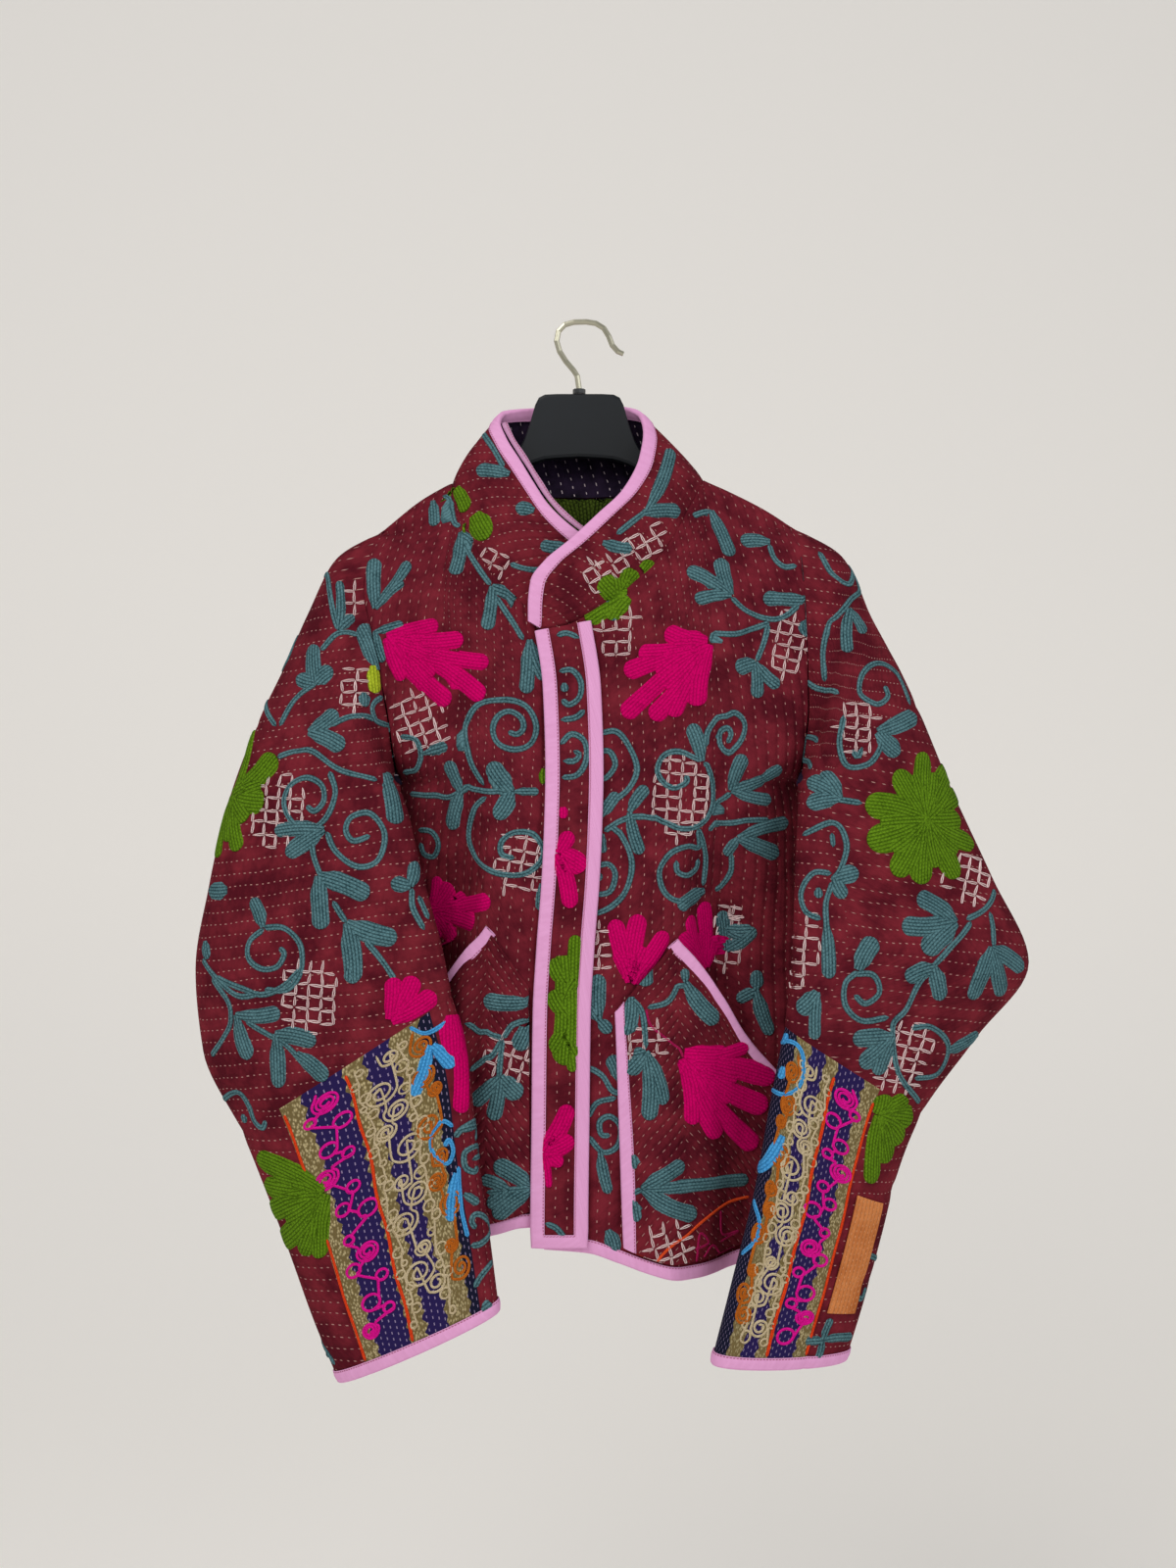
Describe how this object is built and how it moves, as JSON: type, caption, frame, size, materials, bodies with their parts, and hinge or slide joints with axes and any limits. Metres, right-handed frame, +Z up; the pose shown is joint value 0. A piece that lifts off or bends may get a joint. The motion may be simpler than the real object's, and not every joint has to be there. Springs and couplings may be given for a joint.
{
  "type": "kantha jacket on a hanger",
  "caption": "Quilted cloth jacket with a crossed stand collar, a flap over the front opening, slanted patch pockets and bound edges, hanging on a plain hanger.",
  "frame": {"origin": "under the arc of the hook, where what holds the hanger touches it", "axes": "+Z up, +Y towards the back of the jacket, +X towards the wearer's left"},
  "size_m": [0.6668, 0.1339, 0.8514],
  "materials": {
    "cloth": "quilted cotton, matt",
    "binding": "plain cotton strip, matt",
    "border": "embroidered cotton border, matt",
    "patch": "plain cotton, matt",
    "plastic": "moulded, slight sheen",
    "steel": "nickel-plated wire"
  },
  "bodies": {
    "root": {"back": "cloth", "front_left": "cloth", "front_right": "cloth", "collar": "cloth", "flap": "cloth", "pocket_left": "cloth", "pocket_right": "cloth", "sleeve_left_top": "cloth", "sleeve_right_top": "cloth", "sleeve_left_middle": "cloth", "sleeve_right_middle": "cloth", "sleeve_left_strip": "cloth", "forearm_left": "cloth", "forearm_right": "cloth", "border_left": "border", "border_right": "border", "forearm_patch": "patch", "collar_binding": "binding", "flap_binding": "binding", "pocket_left_mouth_binding": "binding", "pocket_right_mouth_binding": "binding", "pocket_left_edge_binding": "binding", "cuff_left_binding": "binding", "cuff_right_binding": "binding", "hem_left_binding": "binding", "hem_right_binding": "binding", "hem_back_binding": "binding", "hanger_body": "plastic", "hanger_hook": "steel"}
  },
  "joints": []
}
